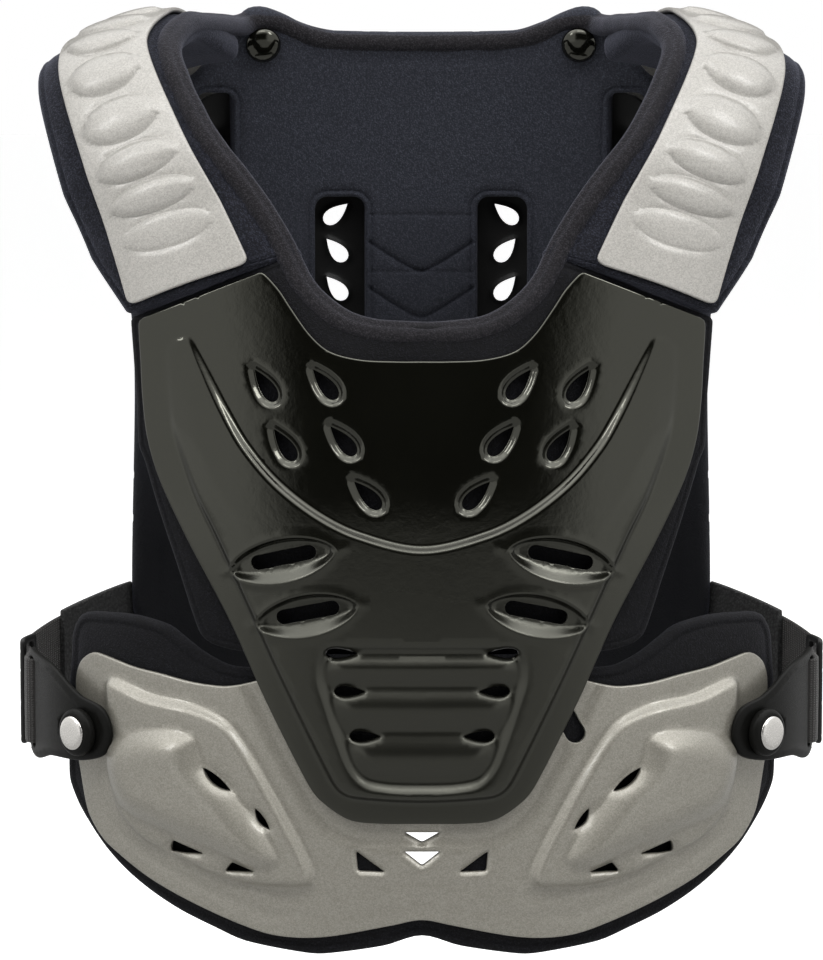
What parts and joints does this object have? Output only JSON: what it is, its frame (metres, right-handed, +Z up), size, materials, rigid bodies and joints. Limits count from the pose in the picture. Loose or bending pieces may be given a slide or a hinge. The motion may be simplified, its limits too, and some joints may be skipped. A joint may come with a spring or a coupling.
{
  "type": "roost deflector",
  "caption": "Chest and back protector for motocross: moulded chest, belly and shoulder plates on foam liners, open at the neck and arms, with side straps on hook tabs.",
  "frame": {"origin": "in the middle of the body, under the crest of the shoulder pads where they rest on the wearer's shoulders", "axes": "+Z up, -Y out of the chest plate, +X towards the right side as seen from the front"},
  "size_m": [0.4218, 0.2733, 0.4693],
  "materials": {
    "gloss_black": "gloss moulded plastic",
    "metallic_grey": "gloss plastic with a fine metallic fleck",
    "dark_fabric": "matt fabric on foam",
    "matt_black": "matt moulded plastic",
    "bright_metal": "bright turned metal",
    "webbing": "woven webbing",
    "stitched_end": "grained strap end with stitches"
  },
  "bodies": {
    "root": {"chest_plate": "gloss_black", "chest_liner": "dark_fabric", "shoulder_plate_left": "metallic_grey", "shoulder_plate_right": "metallic_grey", "shoulder_pad_left": "dark_fabric", "shoulder_pad_right": "dark_fabric", "back_plate": "matt_black", "back_liner": "dark_fabric", "belly_plate": "metallic_grey", "belly_liner": "dark_fabric", "strap_hook_left": "matt_black", "strap_hook_right": "matt_black", "stud_left": "matt_black", "stud_right": "matt_black", "stud_cap_left": "bright_metal", "stud_cap_right": "bright_metal", "slider_left": "matt_black", "slider_right": "matt_black", "webbing_left": "webbing", "webbing_right": "webbing", "strap_pad_left": "stitched_end", "strap_pad_right": "stitched_end", "snap_left": "gloss_black", "snap_right": "gloss_black"}
  },
  "joints": []
}
